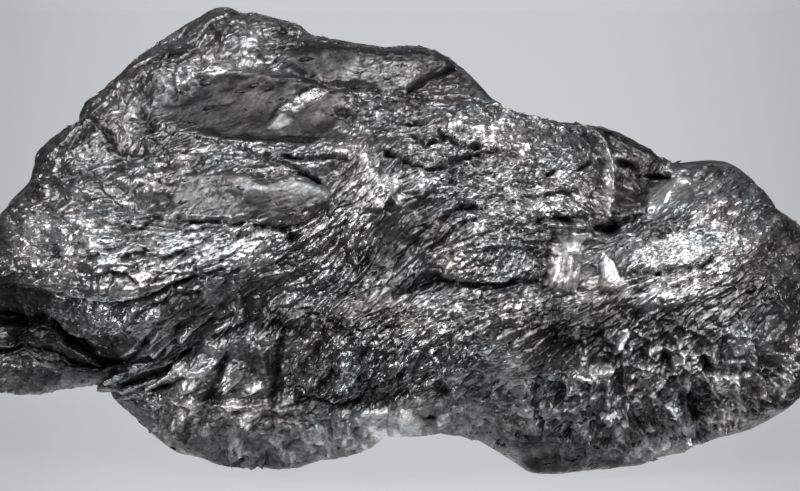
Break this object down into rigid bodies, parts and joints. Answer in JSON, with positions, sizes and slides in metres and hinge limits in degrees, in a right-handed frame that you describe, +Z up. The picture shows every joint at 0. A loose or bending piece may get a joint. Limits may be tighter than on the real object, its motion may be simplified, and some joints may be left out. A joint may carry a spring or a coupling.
{
  "type": "graphite specimen",
  "caption": "Hand-sized lump of crystalline vein graphite, dark metallic grey, with flowing striated flakes on its broad face and broken blocky faces low down.",
  "frame": {"origin": "on the ground plane under the middle of the lump's box", "axes": "+Z up, +X along the lump's length, and the broad striated face looks along -Y, leaning back 8 degrees"},
  "size_m": [0.0644, 0.0314, 0.0345],
  "materials": {
    "graphite": "satin"
  },
  "bodies": {
    "root": {"graphite_lump": "graphite"}
  },
  "joints": []
}
